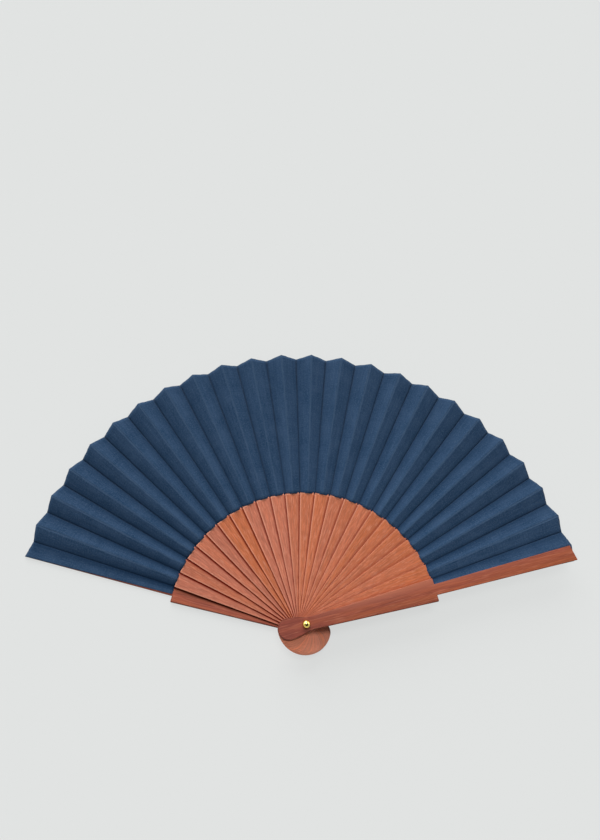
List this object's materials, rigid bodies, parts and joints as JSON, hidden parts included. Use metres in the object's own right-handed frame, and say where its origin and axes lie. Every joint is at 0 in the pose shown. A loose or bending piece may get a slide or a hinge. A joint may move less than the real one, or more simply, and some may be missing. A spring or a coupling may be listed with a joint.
{
  "type": "folding hand fan",
  "caption": "Folding hand fan with shouldered wooden sticks and guards on one ball-headed rivet and a pleated cloth leaf, shown open.",
  "frame": {"origin": "on the rivet's axis, at the outer face of the back guard, which is the lowest face of the open fan", "axes": "+Z along the rivet's axis from the back guard to the front guard, +Y along the middle of the open fan away from the rivet, +X towards the front guard"},
  "size_m": [0.4072, 0.2299, 0.0288],
  "materials": {
    "stick_wood": "stained red-brown, matte to satin",
    "guard_wood": "darker red-brown, satin",
    "leaf_cloth": "plain fine weave, matte slate blue",
    "rivet_brass": "polished"
  },
  "bodies": {
    "back_guard": {"back_guard": "guard_wood", "leaf_pleat_00": "leaf_cloth", "rivet_pin": "rivet_brass", "rivet_washer": "rivet_brass", "rivet_ball": "rivet_brass"},
    "stick_01": {"stick_01": "stick_wood", "leaf_pleat_01": "leaf_cloth"},
    "stick_02": {"stick_02": "stick_wood", "leaf_pleat_02": "leaf_cloth"},
    "stick_03": {"stick_03": "stick_wood", "leaf_pleat_03": "leaf_cloth"},
    "stick_04": {"stick_04": "stick_wood", "leaf_pleat_04": "leaf_cloth"},
    "stick_05": {"stick_05": "stick_wood", "leaf_pleat_05": "leaf_cloth"},
    "stick_06": {"stick_06": "stick_wood", "leaf_pleat_06": "leaf_cloth"},
    "stick_07": {"stick_07": "stick_wood", "leaf_pleat_07": "leaf_cloth"},
    "stick_08": {"stick_08": "stick_wood", "leaf_pleat_08": "leaf_cloth"},
    "stick_09": {"stick_09": "stick_wood", "leaf_pleat_09": "leaf_cloth"},
    "stick_10": {"stick_10": "stick_wood", "leaf_pleat_10": "leaf_cloth"},
    "stick_11": {"stick_11": "stick_wood", "leaf_pleat_11": "leaf_cloth"},
    "stick_12": {"stick_12": "stick_wood", "leaf_pleat_12": "leaf_cloth"},
    "stick_13": {"stick_13": "stick_wood", "leaf_pleat_13": "leaf_cloth"},
    "stick_14": {"stick_14": "stick_wood", "leaf_pleat_14": "leaf_cloth"},
    "stick_15": {"stick_15": "stick_wood", "leaf_pleat_15": "leaf_cloth"},
    "stick_16": {"stick_16": "stick_wood", "leaf_pleat_16": "leaf_cloth"},
    "stick_17": {"stick_17": "stick_wood", "leaf_pleat_17": "leaf_cloth"},
    "stick_18": {"stick_18": "stick_wood", "leaf_pleat_18": "leaf_cloth"},
    "stick_19": {"stick_19": "stick_wood", "leaf_pleat_19": "leaf_cloth"},
    "stick_20": {"stick_20": "stick_wood", "leaf_pleat_20": "leaf_cloth"},
    "stick_21": {"stick_21": "stick_wood", "leaf_pleat_21": "leaf_cloth"},
    "stick_22": {"stick_22": "stick_wood", "leaf_pleat_22": "leaf_cloth"},
    "front_guard": {"front_guard": "guard_wood", "leaf_pleat_23": "leaf_cloth"}
  },
  "joints": [
    {"name": "fold_01", "type": "hinge", "parent": "back_guard", "child": "stick_01", "pos_m": [0, 0, 0], "axis": [0, 0, 1], "range_deg": [0, 6.5], "deforming": ["leaf_pleat_00"]},
    {"name": "fold_02", "type": "hinge", "parent": "stick_01", "child": "stick_02", "pos_m": [0, 0, 0], "axis": [0, 0, 1], "range_deg": [0, 6.5], "deforming": ["leaf_pleat_01"]},
    {"name": "fold_03", "type": "hinge", "parent": "stick_02", "child": "stick_03", "pos_m": [0, 0, 0], "axis": [0, 0, 1], "range_deg": [0, 6.5], "deforming": ["leaf_pleat_02"]},
    {"name": "fold_04", "type": "hinge", "parent": "stick_03", "child": "stick_04", "pos_m": [0, 0, 0], "axis": [0, 0, 1], "range_deg": [0, 6.5], "deforming": ["leaf_pleat_03"]},
    {"name": "fold_05", "type": "hinge", "parent": "stick_04", "child": "stick_05", "pos_m": [0, 0, 0], "axis": [0, 0, 1], "range_deg": [0, 6.5], "deforming": ["leaf_pleat_04"]},
    {"name": "fold_06", "type": "hinge", "parent": "stick_05", "child": "stick_06", "pos_m": [0, 0, 0], "axis": [0, 0, 1], "range_deg": [0, 6.5], "deforming": ["leaf_pleat_05"]},
    {"name": "fold_07", "type": "hinge", "parent": "stick_06", "child": "stick_07", "pos_m": [0, 0, 0], "axis": [0, 0, 1], "range_deg": [0, 6.5], "deforming": ["leaf_pleat_06"]},
    {"name": "fold_08", "type": "hinge", "parent": "stick_07", "child": "stick_08", "pos_m": [0, 0, 0], "axis": [0, 0, 1], "range_deg": [0, 6.5], "deforming": ["leaf_pleat_07"]},
    {"name": "fold_09", "type": "hinge", "parent": "stick_08", "child": "stick_09", "pos_m": [0, 0, 0], "axis": [0, 0, 1], "range_deg": [0, 6.5], "deforming": ["leaf_pleat_08"]},
    {"name": "fold_10", "type": "hinge", "parent": "stick_09", "child": "stick_10", "pos_m": [0, 0, 0], "axis": [0, 0, 1], "range_deg": [0, 6.5], "deforming": ["leaf_pleat_09"]},
    {"name": "fold_11", "type": "hinge", "parent": "stick_10", "child": "stick_11", "pos_m": [0, 0, 0], "axis": [0, 0, 1], "range_deg": [0, 6.5], "deforming": ["leaf_pleat_10"]},
    {"name": "fold_12", "type": "hinge", "parent": "stick_11", "child": "stick_12", "pos_m": [0, 0, 0], "axis": [0, 0, 1], "range_deg": [0, 6.5], "deforming": ["leaf_pleat_11"]},
    {"name": "fold_13", "type": "hinge", "parent": "stick_12", "child": "stick_13", "pos_m": [0, 0, 0], "axis": [0, 0, 1], "range_deg": [0, 6.5], "deforming": ["leaf_pleat_12"]},
    {"name": "fold_14", "type": "hinge", "parent": "stick_13", "child": "stick_14", "pos_m": [0, 0, 0], "axis": [0, 0, 1], "range_deg": [0, 6.5], "deforming": ["leaf_pleat_13"]},
    {"name": "fold_15", "type": "hinge", "parent": "stick_14", "child": "stick_15", "pos_m": [0, 0, 0], "axis": [0, 0, 1], "range_deg": [0, 6.5], "deforming": ["leaf_pleat_14"]},
    {"name": "fold_16", "type": "hinge", "parent": "stick_15", "child": "stick_16", "pos_m": [0, 0, 0], "axis": [0, 0, 1], "range_deg": [0, 6.5], "deforming": ["leaf_pleat_15"]},
    {"name": "fold_17", "type": "hinge", "parent": "stick_16", "child": "stick_17", "pos_m": [0, 0, 0], "axis": [0, 0, 1], "range_deg": [0, 6.5], "deforming": ["leaf_pleat_16"]},
    {"name": "fold_18", "type": "hinge", "parent": "stick_17", "child": "stick_18", "pos_m": [0, 0, 0], "axis": [0, 0, 1], "range_deg": [0, 6.5], "deforming": ["leaf_pleat_17"]},
    {"name": "fold_19", "type": "hinge", "parent": "stick_18", "child": "stick_19", "pos_m": [0, 0, 0], "axis": [0, 0, 1], "range_deg": [0, 6.5], "deforming": ["leaf_pleat_18"]},
    {"name": "fold_20", "type": "hinge", "parent": "stick_19", "child": "stick_20", "pos_m": [0, 0, 0], "axis": [0, 0, 1], "range_deg": [0, 6.5], "deforming": ["leaf_pleat_19"]},
    {"name": "fold_21", "type": "hinge", "parent": "stick_20", "child": "stick_21", "pos_m": [0, 0, 0], "axis": [0, 0, 1], "range_deg": [0, 6.5], "deforming": ["leaf_pleat_20"]},
    {"name": "fold_22", "type": "hinge", "parent": "stick_21", "child": "stick_22", "pos_m": [0, 0, 0], "axis": [0, 0, 1], "range_deg": [0, 6.5], "deforming": ["leaf_pleat_21"]},
    {"name": "fold_23", "type": "hinge", "parent": "stick_22", "child": "front_guard", "pos_m": [0, 0, 0], "axis": [0, 0, 1], "range_deg": [0, 6.5], "deforming": ["leaf_pleat_22"]}
  ],
  "couplings": [
    {"joint": "fold_02", "follows": "fold_01", "ratio": 1},
    {"joint": "fold_03", "follows": "fold_01", "ratio": 1},
    {"joint": "fold_04", "follows": "fold_01", "ratio": 1},
    {"joint": "fold_05", "follows": "fold_01", "ratio": 1},
    {"joint": "fold_06", "follows": "fold_01", "ratio": 1},
    {"joint": "fold_07", "follows": "fold_01", "ratio": 1},
    {"joint": "fold_08", "follows": "fold_01", "ratio": 1},
    {"joint": "fold_09", "follows": "fold_01", "ratio": 1},
    {"joint": "fold_10", "follows": "fold_01", "ratio": 1},
    {"joint": "fold_11", "follows": "fold_01", "ratio": 1},
    {"joint": "fold_12", "follows": "fold_01", "ratio": 1},
    {"joint": "fold_13", "follows": "fold_01", "ratio": 1},
    {"joint": "fold_14", "follows": "fold_01", "ratio": 1},
    {"joint": "fold_15", "follows": "fold_01", "ratio": 1},
    {"joint": "fold_16", "follows": "fold_01", "ratio": 1},
    {"joint": "fold_17", "follows": "fold_01", "ratio": 1},
    {"joint": "fold_18", "follows": "fold_01", "ratio": 1},
    {"joint": "fold_19", "follows": "fold_01", "ratio": 1},
    {"joint": "fold_20", "follows": "fold_01", "ratio": 1},
    {"joint": "fold_21", "follows": "fold_01", "ratio": 1},
    {"joint": "fold_22", "follows": "fold_01", "ratio": 1},
    {"joint": "fold_23", "follows": "fold_01", "ratio": 1}
  ]
}
